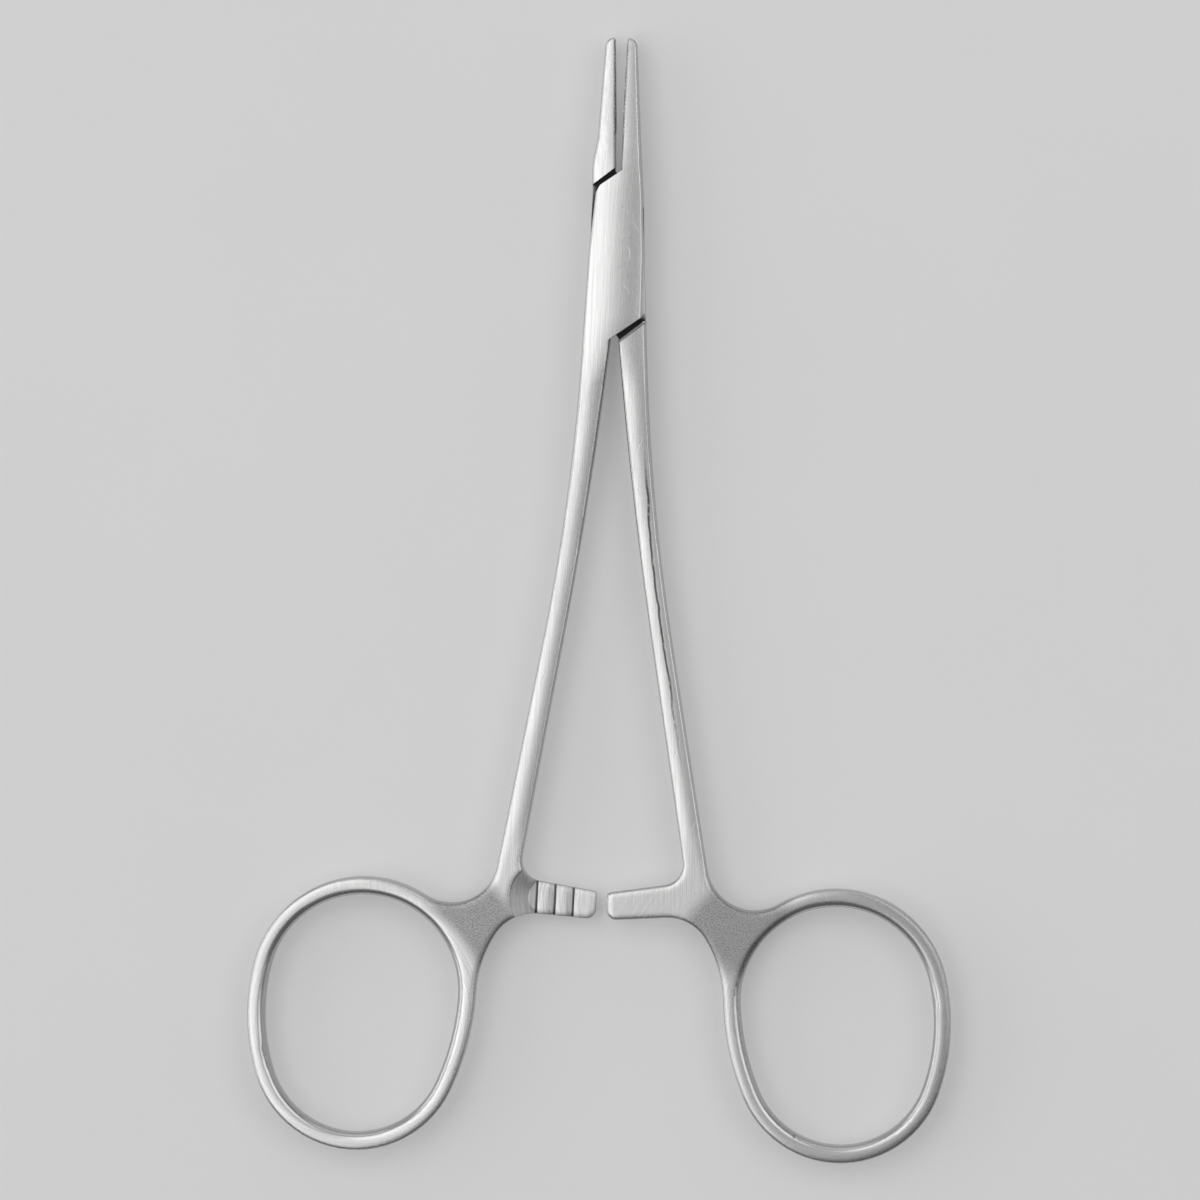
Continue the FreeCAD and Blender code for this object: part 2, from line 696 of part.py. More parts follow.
def cut_arm(body, name, hand, up):
    """Relieve the arm to mid-thickness from one side and cut its ratchet teeth there."""
    level = size("arm_gap") / 2 * (-1 if up else 1)
    radius = size("relief_radius")
    left = -size("relief_reach") * hand
    x = size("relief_x") * hand
    y = -size("relief_y")
    relief = new_sketch(body, name + "_relief_plan", "XY_Plane", level)
    centre = vector(x.value, y.value)
    upper = centre + vector(0, radius.value)
    lower = centre - vector(0, radius.value)
    edge = left.value
    arc = draw_arc(relief, centre, upper, lower, -hand)
    lines = [
        draw_line(relief, lower, vector(edge, lower.y)),
        draw_line(relief, vector(edge, lower.y), vector(edge, upper.y)),
        draw_line(relief, vector(edge, upper.y), upper),
    ]
    join(relief, arc, lines[0])
    join(relief, lines[0], lines[1], "Coincident")
    join(relief, lines[1], lines[2], "Coincident")
    join(relief, lines[2], arc)
    fix_radius(relief, arc.index, radius)
    fix_point(relief, arc.index, 3, x, y)
    relief.addConstraint(Sketcher.Constraint("Horizontal", lines[0].index))
    relief.addConstraint(Sketcher.Constraint("Vertical", lines[1].index))
    index = relief.addConstraint(
        Sketcher.Constraint("DistanceX", *ORIGIN_POINT, lines[0].index, 2, edge))
    bind(relief, index, left)
    pocket(body, relief, name + "_relief", up=up, lean=size("relief_lean"))
    # a gullet is a triangle: its steep side is the face of the next tooth
    steep = size("tooth_first") * hand
    ramp = steep + size("tooth_gullet") * hand
    sink = -size("tooth_depth") if up else size("tooth_depth")
    gullet = new_sketch(body, name + "_gullet", "XZ_Plane")
    draw_polygon(gullet, [Corner(steep, level), Corner(steep, level + sink), Corner(ramp, level)])
    cut = pocket(body, gullet, name + "_tooth_gap", size("arm_tip_low") * 2)
    pattern = body.newObject("PartDesign::LinearPattern", name + "_teeth")
    pattern.Originals = [cut]
    pattern.Direction = (gullet, ["H_Axis"])
    pattern.Reversed = hand > 0
    pattern.Occurrences = TEETH
    pattern.setExpression("Length", (size("tooth_pitch") * (TEETH - 1)).text)
    body.Tip = pattern
    doc.recompute()


# The box half: left ring, left shank, both cheeks and the right jaw

box_half = half_blank("box_half", -1, box_lock_edges)
reach = size("cut_reach")
rise = size("slot_reach") + size("cut_rise")
slot_edge = size("slot_reach") - slot_slope * reach
slot = flat_shape(box_half, "slot_plan", "XY_Plane", [
    Corner(reach, slot_edge), Corner(0, size("slot_reach")), Corner(0, rise), Corner(-reach, rise),
    Corner(-reach, -slot_edge), Corner(0, -size("slot_reach")), Corner(0, -rise), Corner(reach, -rise),
])
pocket(box_half, slot, "slot", size("slot_thick"))
cut_arm(box_half, "box_arm", -1, True)
seat = new_sketch(box_half, "rivet_seat_section", "XZ_Plane")
pin_outline(seat)
turn_profile(box_half, "Groove", "rivet_seat", seat)

# The tang half: right ring, right shank, the tang through the slot and the left jaw

tang_half = half_blank("tang_half", 1, tang_lock_edges)
shoulder_edge = shoulder_reach - cheek_slope * reach
tang_plan = [
    Corner(-reach, shoulder_edge), Corner(0, shoulder_reach), Corner(reach, shoulder_reach),
    Corner(reach, -shoulder_edge), Corner(0, -shoulder_reach), Corner(-reach, -shoulder_reach),
]
for side, up in (("front", True), ("back", False)):
    height = tang_thick / (2 if up else -2)
    thinned = flat_shape(tang_half, "tang_" + side + "_plan", "XY_Plane", tang_plan, height)
    pocket(tang_half, thinned, "tang_" + side, up=up)
shank_shoulder = (tang_plan[3].point(), tang_plan[4].point())
dress(tang_half, "Chamfer", "shoulder_bevel", size("shoulder_bevel"),
      lambda edge, middle: beside(*shank_shoulder, edge) and abs(middle.z) > tang_thick.value)
cut_arm(tang_half, "tang_arm", 1, False)
bore = new_sketch(tang_half, "pin_bore_plan", "XY_Plane")
circle = Part.Circle(vector(0, 0), FreeCAD.Vector(0, 0, 1), (size("pin_shaft") / 2 + size("pin_gap")).value)
bore.addGeometry(circle, False)
bore.addConstraint(Sketcher.Constraint("Coincident", 0, 3, *ORIGIN_POINT))
fix_radius(bore, 0, size("pin_shaft") / 2 + size("pin_gap"))
pocket(tang_half, bore, "pin_bore", size("lock_thick"))

# The rivet through both cheeks, its heads flush with them

pivot_pin = new_body("pivot_pin", 0)
section = new_sketch(pivot_pin, "pin_section", "XZ_Plane")
pin_outline(section)
turn_profile(pivot_pin, "Revolution", "pin", section)

# Test every object, then write the pieces

doc.recompute()
for item in doc.Objects:
    if "Invalid" in item.State or "Error" in item.State:
        raise ValueError(item.Name + " failed: " + str(item.State))
os.makedirs("parts", exist_ok=True)
for body in (box_half, tang_half, pivot_pin):
    shape = body.Shape
    if shape.isNull() or not shape.isValid() or len(shape.Solids) != 1:
        raise ValueError(body.Label + " is not one valid solid")
    shape.exportStep("parts/" + body.Label + ".step")
    print(body.Label, "volume", round(shape.Volume, 2), "box", shape.BoundBox)
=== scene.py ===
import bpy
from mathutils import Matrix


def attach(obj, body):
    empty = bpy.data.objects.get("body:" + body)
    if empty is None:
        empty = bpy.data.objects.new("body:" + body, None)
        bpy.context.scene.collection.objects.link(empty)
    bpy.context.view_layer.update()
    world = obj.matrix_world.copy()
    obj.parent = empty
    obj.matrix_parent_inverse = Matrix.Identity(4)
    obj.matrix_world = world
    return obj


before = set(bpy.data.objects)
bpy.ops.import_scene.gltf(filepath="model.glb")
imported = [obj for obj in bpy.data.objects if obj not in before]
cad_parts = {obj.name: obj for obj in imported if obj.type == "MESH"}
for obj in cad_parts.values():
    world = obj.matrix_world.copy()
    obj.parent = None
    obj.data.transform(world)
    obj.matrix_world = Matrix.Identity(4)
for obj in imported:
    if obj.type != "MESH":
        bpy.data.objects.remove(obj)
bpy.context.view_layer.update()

import math

import bmesh
import bpy
from bpy.props import FloatProperty, FloatVectorProperty, IntProperty, PointerProperty
from mathutils import Matrix, Vector

bl_info = {
    "name": "Needle holder",
    "version": (1, 0, 0),
    "blender": (4, 5, 0),
    "location": "View3D > Sidebar > Needle holder",
    "description": "Satin steel finish, jaw serrations and a studio stage for a box-lock needle holder",
    "category": "Object",
}

MM = 0.001


# Sizes and colours that a user may change

class SteelSettings(bpy.types.PropertyGroup):
    """Finish of the two forged halves."""
    colour: FloatVectorProperty(
        name="Steel colour", description="Colour of the clean satin steel",
        subtype="COLOR", size=3, min=0, max=1, default=(0.80, 0.80, 0.795))
    dull_colour: FloatVectorProperty(
        name="Dull colour", description="Colour in the grain's hollows and at handled places",
        subtype="COLOR", size=3, min=0, max=1, default=(0.60, 0.60, 0.60))
    gloss_roughness: FloatProperty(
        name="Roughness", description="Roughness of the satin grind",
        subtype="FACTOR", min=0, max=1, default=0.23)
    grain_width: FloatProperty(
        name="Grain width", description="Typical distance between two grinding lines",
        unit="LENGTH", subtype="DISTANCE", default=0.14 * MM)
    crown_slope: FloatProperty(
        name="Crown", description="Slope of the hand-ground front faces at their edges",
        subtype="ANGLE", unit="ROTATION", default=math.radians(7.5))


class ToothSettings(bpy.types.PropertyGroup):
    """Cross-cut serrations of the gripping faces."""
    pitch: FloatProperty(
        name="Pitch", description="Distance between two serrations along the jaw",
        unit="LENGTH", subtype="DISTANCE", default=0.44 * MM)
    height: FloatProperty(
        name="Height", description="Height of a serration over the plain jaw face",
        unit="LENGTH", subtype="DISTANCE", default=0.085 * MM)
    start: FloatProperty(
        name="Start", description="Level at which the serrations begin, from the pin",
        unit="LENGTH", subtype="DISTANCE", default=12.6 * MM)
    rows_over_bevel: IntProperty(
        name="Rows over the bevel", description="Quarter-pitch steps that wrap over the edge's bevel",
        min=0, max=6, default=3)


class StageSettings(bpy.types.PropertyGroup):
    """Floor, lamps and camera."""
    floor_colour: FloatVectorProperty(
        name="Floor colour", description="Colour of the plain floor",
        subtype="COLOR", size=3, min=0, max=1, default=(0.72, 0.72, 0.72))
    lit_level: FloatProperty(
        name="Lit side", description="Level of the surroundings on the left and beyond the tips",
        default=0.30)
    dark_level: FloatProperty(
        name="Dark side", description="Level of the surroundings on the right and near side",
        default=0.11)
    left_level: FloatProperty(
        name="Left panel", description="Brightness of the large panel high on the left",
        default=1.08)
    top_level: FloatProperty(
        name="Top panel", description="Brightness of the dimmer panel straight above",
        default=0.34)
    right_level: FloatProperty(
        name="Right panel", description="Brightness of the strip high on the right",
        default=0.95)
    low_level: FloatProperty(
        name="Low panel", description="Brightness of the panel that stands low on the right",
        default=0.32)
    edge_level: FloatProperty(
        name="Edge panel", description="Brightness of the panel that stands low on the left",
        default=0.85)
    far_level: FloatProperty(
        name="Far panel", description="Brightness of the panel that stands low beyond the tips",
        default=0.60)
    paper_glow: FloatProperty(
        name="Paper glow", description="Level that is added to the floor where it is seen or reflected",
        default=0.20)
    camera_distance: FloatProperty(
        name="Camera distance", description="Distance from the camera to the point it looks at",
        unit="LENGTH", subtype="DISTANCE", default=0.87526)
    camera_right: FloatProperty(
        name="Camera to the right", description="How far the camera leans to the right of upright",
        subtype="ANGLE", unit="ROTATION", default=math.radians(2.398))
    camera_up: FloatProperty(
        name="Camera to the tips", description="How far the camera leans towards the jaw tips",
        subtype="ANGLE", unit="ROTATION", default=math.radians(2.6))
    part_lean: FloatProperty(
        name="Lean of the part", description="How far the part is turned clockwise in the picture",
        subtype="ANGLE", unit="ROTATION", default=math.radians(1.442))
    picture_scale: FloatProperty(
        name="Picture scale", description="Picture points per millimetre at the aim, in a picture of 1200",
        default=9.384)


# Measures of the two halves. Each is the drawn half, whose jaw is closed, turned about the pin by
# half of the rest opening. Levels are along the half from the pin, towards its jaw tip.

REST_HALF = math.radians(1.45)
JAW_FACE = 0.1 * MM
JAW_TIP = 23.0 * MM
JAW_TAPER = 9.6 * MM
JAW_BEVEL = 0.15 * MM
TIP_THICK = 2.0 * MM
LOCK_THICK = 4.4 * MM
MIDDLE = LOCK_THICK / 2
RING_CENTRE = (23.48 * MM, -82.6 * MM)
RING_RADIUS = 12 * MM
# small dents of use on the lock's front, in millimetres
DENTS = ((0.52, 5.03), (1.45, 1.76), (1.33, -2.27))
# a half with a seam also gets the painted shade on its ring's outer limb
# the web's way from the ring's centre, towards the middle line and upward, and its start on that way
HALVES = {
    "box": {"node": "box_half", "turn": -REST_HALF, "hand": -1, "seam": False, "dents": DENTS,
            "web": (0.766, 0.643, 13.6 * MM)},
    "tang": {"node": "tang_half", "turn": REST_HALF, "hand": 1, "seam": True, "dents": (),
             "web": (0.669, 0.743, 11.2 * MM)},
}


# Greys of the places that differ from the ground steel; some are painted shade: the upright sides, the
# right ring's outer limb, the shoulder line, the tooth gullets, the lock's inside and its narrow gaps

def grey(level):
    return (level, level, level, 1)


MATT_HOLLOWS, MATT_POINTS = grey(0.24), grey(0.46)
MILLED_HOLLOWS, MILLED_RIDGES = grey(0.74), grey(0.95)
UPRIGHT_SIDE_SHADE = grey(0.39)
OUTER_RING_SHADE = grey(0.36)
SEAM_LINE = grey(0.12)
SHOULDER_SHADE = grey(0.10)
TOOTH_GULLET_SHADE = grey(0.08)
INSIDE_LOCK_SHADE = grey(0.42)
NARROW_GAP_SHADE = grey(0.03)


# Node trees

class Tree:
    """Adds nodes to a node tree, in columns that read from left to right."""

    # factor, first, second and result of a mix of each kind
    MIX_SOCKETS = {"FLOAT": (0, 2, 3, 0), "VECTOR": (0, 4, 5, 1), "RGBA": (0, 6, 7, 2)}

    def __init__(self, tree):
        self.tree = tree
        self.placed = 0

    def add(self, kind, inputs=None, **settings):
        node = self.tree.nodes.new(kind)
        node.location = (self.placed // 5 * 190, -(self.placed % 5) * 210)
        self.placed += 1
        for name, value in settings.items():
            setattr(node, name, value)
        for name, value in (inputs or {}).items():
            self.feed(node.inputs[name], value)
        return node

    def feed(self, socket, value):
        if isinstance(value, bpy.types.NodeSocket):
            self.tree.links.new(value, socket)
        else:
            socket.default_value = value

    def math(self, operation, *values, clamp=False):
        node = self.add("ShaderNodeMath", operation=operation, use_clamp=clamp)
        for socket, value in zip(node.inputs, values):
            self.feed(socket, value)
        return node.outputs[0]

    def product(self, value, *others):
        for other in others:
            value = self.math("MULTIPLY", value, other)
        return value

    def vector(self, operation, *values):
        node = self.add("ShaderNodeVectorMath", operation=operation)
        for socket, value in zip(node.inputs, values):
            self.feed(socket, value)
        return node.outputs["Value" if operation in ("LENGTH", "DISTANCE", "DOT_PRODUCT") else "Vector"]

    def split(self, vector):
        return self.add("ShaderNodeSeparateXYZ", {"Vector": vector}).outputs

    def join(self, x, y, z):
        return self.add("ShaderNodeCombineXYZ", {"X": x, "Y": y, "Z": z}).outputs[0]

    def turn(self, vector, angle):
        """Turns a place about the upright axis."""
        return self.add("ShaderNodeVectorRotate", {"Vector": vector, "Angle": angle},
                        rotation_type="Z_AXIS").outputs[0]

    def place(self):
        """The place on the piece, in metres."""
        return self.add("ShaderNodeTexCoord").outputs["Object"]

    def ramp(self, value, low, high, to_low=0.0, to_high=1.0, smooth=True):
        node = self.add("ShaderNodeMapRange", interpolation_type="SMOOTHSTEP" if smooth else "LINEAR")
        for name, number in (("Value", value), ("From Min", low), ("From Max", high),
                             ("To Min", to_low), ("To Max", to_high)):
            self.feed(node.inputs[name], number)
        return node.outputs["Result"]

    def mix(self, factor, first, second, kind="FLOAT"):
        node = self.add("ShaderNodeMix", data_type=kind)
        *places, result = self.MIX_SOCKETS[kind]
        for place, value in zip(places, (factor, first, second)):
            self.feed(node.inputs[place], value)
        return node.outputs[result]

    def mix_colour(self, factor, first, second):
        return self.mix(factor, first, second, "RGBA")

    def noise(self, vector, scale, detail=2.0, roughness=0.5, w=None):
        node = self.add("ShaderNodeTexNoise", noise_dimensions="3D" if w is None else "4D")
        values = {"Vector": vector, "Scale": scale, "Detail": detail, "Roughness": roughness}
        if w is not None:
            values["W"] = w
        for name, value in values.items():
            self.feed(node.inputs[name], value)
        return node.outputs["Fac"]


def new_group(name, inputs, outputs):
    """An empty shader node group with named number and vector sockets."""
    group = bpy.data.node_groups.new(name, "ShaderNodeTree")
    for socket_name, kind, default in inputs:
        socket = group.interface.new_socket(
            socket_name, in_out="INPUT", socket_type="NodeSocket" + kind)
        socket.default_value = default
    for socket_name in outputs:
        group.interface.new_socket(socket_name, in_out="OUTPUT", socket_type="NodeSocketFloat")
    tree = Tree(group)
    return tree, tree.add("NodeGroupInput").outputs, tree.add("NodeGroupOutput").inputs


def own_place(tree, turn_back):
    """The place on a half as it is drawn, with its jaw closed."""
    return tree.turn(tree.place(), turn_back)


# Node groups that the steel materials share. A pair that names a border says where a finish has not
# begun, and then where it is whole.

# a grinding line's width over its length
LINE_SLENDER = 0.016
ROUND_GRAIN = (-66 * MM, -73 * MM)
SOFT_RING = (-62 * MM, -68 * MM)
WEB_INNER = (-0.5 * MM, 1.0 * MM)
WEB_OUTER = (21.0 * MM, 19.0 * MM)
WEB_AIM = (0.90, 0.975)


def grinding_lines():
    """Fine lines that follow the jaws and shanks, and run round the finger ring."""
    tree, given, out = new_group(
        "Grinding lines",
        [("Turn back", "Float", 0.0), ("Ring centre", "Vector", (0, 0, 0)),
         ("Line width", "Float", 0.14 * MM), ("Web way", "Vector", (1, 0, 0)),
         ("Web start", "Float", 13.4 * MM)],
        ["Lines", "Fine lines", "Ring", "Web"])
    place = own_place(tree, given["Turn back"])
    across, along, up = tree.split(place)
    finest = tree.math("DIVIDE", 1.0, given["Line width"])
    stretch = tree.math("MULTIPLY", finest, LINE_SLENDER)
    height = tree.math("MULTIPLY", up, finest)
    straight = tree.join(
        tree.math("MULTIPLY", across, finest), tree.math("MULTIPLY", along, stretch), height)
    flat = tree.vector("MULTIPLY", tree.vector("SUBTRACT", place, given["Ring centre"]), (1, 1, 0))
    radius = tree.vector("LENGTH", flat)
    outward = tree.vector("NORMALIZE", flat)
    round_way = tree.split(outward)
    arc_stretch = tree.math("MULTIPLY", stretch, RING_RADIUS)
    rounded = tree.join(
        tree.math("MULTIPLY", radius, finest),
        tree.math("MULTIPLY", round_way[0], arc_stretch),
        tree.math("MULTIPLY", round_way[1], arc_stretch))
    on_ring = tree.ramp(along, *ROUND_GRAIN)
    for name, scale, detail in (("Lines", 0.45, 3.0), ("Fine lines", 1.5, 2.0)):
        tree.feed(out[name], tree.mix(
            on_ring,
            tree.noise(straight, scale, detail, 0.6),
            tree.noise(rounded, scale, detail, 0.6, w=tree.math("MULTIPLY", height, scale))))
    tree.feed(out["Ring"], tree.ramp(along, *SOFT_RING))
    # the web lies between the ring and the foot of the shank
    inner = tree.ramp(tree.math("SUBTRACT", radius, given["Web start"]), *WEB_INNER)
    outer = tree.ramp(radius, *WEB_OUTER)
    aimed = tree.ramp(tree.vector("DOT_PRODUCT", outward, given["Web way"]), *WEB_AIM)
    tree.feed(out["Web"], tree.product(inner, outer, aimed))
    return tree.tree


# the ground front from the foot of the shank up to the jaw tip: level, middle and half of the width,
# in millimetres
FRONT_FACE = (
    (-63.0, 7.92, 1.18), (-45.0, 5.28, 1.07), (-33.0, 3.64, 1.05), (-27.3, 3.05, 1.13),
    (-20.0, 2.35, 1.19), (-14.0, 1.94, 1.3), (-6.5, 0.1, 2.8), (6.5, 0.0, 2.6),
    (11.5, -0.55, 1.3), (23.0, -0.32, 0.8))
CROWNED = (-66 * MM, -60 * MM)
# the seam's place in shares of half the width: its drift from a lower to an upper level, its waver
SEAM_DRIFT = (-33 * MM, -23 * MM, -0.08, 0.20)
SEAM_WAVER = 0.45
SEAM_WIDTH = (0.15, 0.05)
SEAM_LOWER_END = (-58 * MM, -42 * MM)
SEAM_UPPER_END = (-20 * MM, -26 * MM)


def ground_crown():
    """The slight crown of hand-ground faces: highest along the middle of jaw, lock and shank."""
    tree, given, out = new_group(
        "Ground crown",
        [("Turn back", "Float", 0.0), ("Ring side", "Float", 1.0), ("Slope", "Float", 0.1)],
        ["Height", "Seam"])
    place = own_place(tree, given["Turn back"])
    across, along, _ = tree.split(place)
    aside = tree.math("MULTIPLY", across, given["Ring side"])
    _, middle, half = (value * MM for value in FRONT_FACE[0])
    for (start, first, first_half), (end, last, last_half) in zip(FRONT_FACE, FRONT_FACE[1:]):
        step = tree.ramp(along, start * MM, end * MM, smooth=False)
        middle = tree.math("MULTIPLY_ADD", step, (last - first) * MM, middle)
        half = tree.math("MULTIPLY_ADD", step, (last_half - first_half) * MM, half)
    share = tree.math("DIVIDE", tree.math("SUBTRACT", aside, middle), half)
    fall = tree.product(half, given["Slope"], -0.5)
    tree.feed(out["Height"], tree.product(
        tree.math("MULTIPLY", share, share), fall, tree.ramp(along, *CROWNED)))
    # a ragged seam of the forging that the grinding left along the shank
    waver = tree.noise(place, 300.0, 4.0, 0.6)
    line = tree.math("MULTIPLY_ADD", waver, SEAM_WAVER, tree.ramp(along, *SEAM_DRIFT))
    seam = tree.ramp(tree.math("ABSOLUTE", tree.math("SUBTRACT", share, line)), *SEAM_WIDTH)
    stretch = tree.product(tree.ramp(along, *SEAM_LOWER_END), tree.ramp(along, *SEAM_UPPER_END))
    broken = tree.ramp(tree.noise(place, 1300.0, 3.0, 0.7), 0.30, 0.46, 0.40, 1.0)
    tree.feed(out["Seam"], tree.product(seam, stretch, broken))
    return tree.tree


# scratches of three directions: angle, and noise per metre along and across them
SCRATCHES = ((0.35, 210.0, 3600.0), (-0.6, 260.0, 4100.0), (1.9, 300.0, 4600.0))
SCRATCH_DEPTHWISE = 3600.0
SCRATCH_LINE = (0.735, 0.79)
SCRATCH_PATCH = (0.48, 0.62)
# of the cells that may hold a pit, those above this share hold one
PITS_FROM = 0.86
PIT_SIZE = (0.11, 0.05)


def handling_marks():
    """Small pits, hairline scratches that cross the grain at every angle, and a soft cloud."""
    tree, given, out = new_group(
        "Handling marks", [("Seed", "Float", 0.0)], ["Scratches", "Pits", "Cloud"])
    shifted = tree.vector("ADD", tree.place(), tree.join(given["Seed"], given["Seed"], 0.0))
    scratches = 0.0
    for angle, lengthwise, crosswise in SCRATCHES:
        drawn = tree.vector(
            "MULTIPLY", tree.turn(shifted, angle), (crosswise, lengthwise, SCRATCH_DEPTHWISE))
        line = tree.ramp(tree.noise(drawn, 1.0, 1.0, 0.4), *SCRATCH_LINE)
        scratches = tree.math("MAXIMUM", scratches, line)
    patch = tree.ramp(tree.noise(shifted, 190.0, 2.0, 0.6), *SCRATCH_PATCH)
    tree.feed(out["Scratches"], tree.product(scratches, patch))
    cells = tree.add("ShaderNodeTexVoronoi", {"Vector": shifted, "Scale": 420.0, "Randomness": 1.0})
    lot = tree.add("ShaderNodeSeparateColor", {"Color": cells.outputs["Color"]}).outputs[0]
    pit = tree.ramp(cells.outputs["Distance"], *PIT_SIZE)
    tree.feed(out["Pits"], tree.product(pit, tree.math("GREATER_THAN", lot, PITS_FROM)))
    tree.feed(out["Cloud"], tree.noise(shifted, 95.0, 3.0, 0.55))
    return tree.tree


# the lock's inside, by distance from the half's middle plane, from the pin and from the middle line
SLOT_DEPTH = (1.9 * MM, 1.05 * MM)
SLOT_REACH = 9.8 * MM
CHEEK_SIDE = (2.85 * MM, 2.55 * MM)
CHEEK_END = (6.0 * MM, 7.0 * MM)
TURNED_INWARD = (0.9, 0.8)
# the shank's shoulder: its level at the middle line, and its rise across the half
SHOULDER = -9.25 * MM
SHOULDER_SLOPE = 0.747
SHOULDER_SHADE_NEAR = (0.20 * MM, 0.28 * MM)
SHOULDER_SHADE_FAR = (0.44 * MM, 0.34 * MM)


def inside_lock():
    """Where the steel lies between the cheeks of the lock, which is painted darker as shade."""
    tree, given, out = new_group(
        "Inside of the lock", [("Turn back", "Float", 0.0)], ["Mask", "Shoulder line"])
    across, along, up = tree.split(own_place(tree, given["Turn back"]))
    deep = tree.ramp(tree.math("ABSOLUTE", tree.math("SUBTRACT", up, MIDDLE)), *SLOT_DEPTH)
    from_pin = tree.math("ABSOLUTE", along)
    near = tree.math("LESS_THAN", from_pin, SLOT_REACH)
    # the tang's flanks, which show beside the cheeks, get no painted shade
    between = tree.math("MAXIMUM", tree.ramp(tree.math("ABSOLUTE", across), *CHEEK_SIDE),
                        tree.ramp(from_pin, *CHEEK_END))
    facing = tree.split(tree.add("ShaderNodeTexCoord").outputs["Normal"])
    turned = tree.ramp(tree.math("ABSOLUTE", facing[0]), *TURNED_INWARD)
    tree.feed(out["Mask"], tree.product(deep, near, between, turned))
    # painted shade: a dark line that runs beside the bevel of the shank's shoulder
    level = tree.math("MULTIPLY_ADD", across, SHOULDER_SLOPE, SHOULDER)
    beyond = tree.math("SUBTRACT", level, along)
    tree.feed(out["Shoulder line"], tree.product(
        tree.ramp(beyond, *SHOULDER_SHADE_NEAR), tree.ramp(beyond, *SHOULDER_SHADE_FAR),
        tree.math("GREATER_THAN", across, 0.0)))
    return tree.tree


# the ratchet arm: below a level and within a distance of the middle line, its face milled down
ARM_BELOW = -60 * MM
ARM_WITHIN = 10 * MM
ARM_ROOT = (11 * MM, 8.5 * MM)
ARM_MIDDLE = -68.9 * MM
ARM_FACE = 1.4 * MM
# the cutter's marks: their bend, and noise per metre across and along them
CUTTER_BEND = 80.0
CUTTER_FINENESS = (5200.0, 160.0)
# the outermost tooth's steep face, the pitch of the teeth, and their first and last place in pitches
TOOTH_STEEP = 5.1 * MM
TOOTH_PITCH = 1.96 * MM
TOOTH_ROW = (-2.4, 0.5)
GULLET = (0.36 * MM, 0.18 * MM)


def cutter_lines():
    """Curved cutter marks on the milled face of a ratchet arm, and painted shade in the teeth's gullets.
    """
    tree, given, out = new_group(
        "Cutter lines", [("Turn back", "Float", 0.0), ("Ring side", "Float", 1.0)],
        ["Mask", "Lines", "Arm", "Gullets"])
    across, along, up = tree.split(own_place(tree, given["Turn back"]))
    aside = tree.math("MULTIPLY", across, given["Ring side"])
    depth = tree.math("ABSOLUTE", tree.math("SUBTRACT", up, MIDDLE))
    arm = tree.product(tree.math("LESS_THAN", along, ARM_BELOW),
                       tree.math("LESS_THAN", aside, ARM_WITHIN))
    tree.feed(out["Arm"], tree.product(arm, tree.ramp(aside, *ARM_ROOT)))
    face = tree.product(tree.math("LESS_THAN", depth, ARM_FACE), arm)
    upright = tree.split(tree.add("ShaderNodeNewGeometry").outputs["True Normal"])[2]
    flat = tree.math("GREATER_THAN", tree.math("ABSOLUTE", upright), 0.5)
    tree.feed(out["Mask"], tree.product(face, flat))
    square = tree.math("POWER", tree.math("ABSOLUTE", tree.math("SUBTRACT", along, ARM_MIDDLE)), 2.0)
    bent = tree.math("MULTIPLY_ADD", square, CUTTER_BEND, aside)
    drawn = tree.join(tree.math("MULTIPLY", bent, CUTTER_FINENESS[0]),
                      tree.math("MULTIPLY", along, CUTTER_FINENESS[1]), 0.0)
    tree.feed(out["Lines"], tree.noise(drawn, 1.0, 3.0, 0.65))
    # painted shade: each gullet is painted darkest at the foot of the next tooth's steep face
    first, last = (TOOTH_STEEP + share * TOOTH_PITCH for share in TOOTH_ROW)
    toothed = tree.product(tree.math("GREATER_THAN", aside, first), tree.math("LESS_THAN", aside, last))
    from_steep = tree.math("SUBTRACT", aside, TOOTH_STEEP - 4 * TOOTH_PITCH)
    foot = tree.ramp(tree.math("MODULO", from_steep, TOOTH_PITCH), *GULLET)
    tree.feed(out["Gullets"], tree.product(face, toothed, foot))
    return tree.tree


GROUP_MAKERS = {
    "Grinding lines": grinding_lines,
    "Ground crown": ground_crown,
    "Handling marks": handling_marks,
    "Inside of the lock": inside_lock,
    "Cutter lines": cutter_lines,
}


def place_group(tree, name, **values):
    """Places a shared node group, which is made at its first use, and feeds its inputs."""
    node = tree.add("ShaderNodeGroup")
    node.node_tree = bpy.data.node_groups.get(name) or GROUP_MAKERS[name]()
    for label, value in values.items():
        tree.feed(node.inputs[label.replace("_", " ").capitalize()], value)
    return node.outputs


# Materials

def new_material(name):
    material = bpy.data.materials.new(name)
    material.use_nodes = True
    material.node_tree.nodes.clear()
    tree = Tree(material.node_tree)
    shader = tree.add("ShaderNodeBsdfPrincipled")
    tree.add("ShaderNodeOutputMaterial", {"Surface": shader.outputs[0]})
    return material, tree, shader


RING_SHADE = (12 * MM, 36 * MM, 0.15, 0.60)
FRONT_ONLY = (0.93, 0.99)
RIVET_RIM = (1.42 * MM, 1.5 * MM)
RIM_DEPTH = 0.008 * MM
DENT = (0.16 * MM, 0.05 * MM)
SCRATCH_DEPTH = 0.004 * MM
PIT_DEPTH = 0.02 * MM
GRAIN_DEPTH, WEB_DEPTH, CUTTER_DEPTH = 0.006 * MM, 0.003 * MM, 0.008 * MM
WORN_EDGE, WORN_ARM_EDGE, SOFT_RING_EDGE = 0.06 * MM, 0.14 * MM, 1.0 * MM


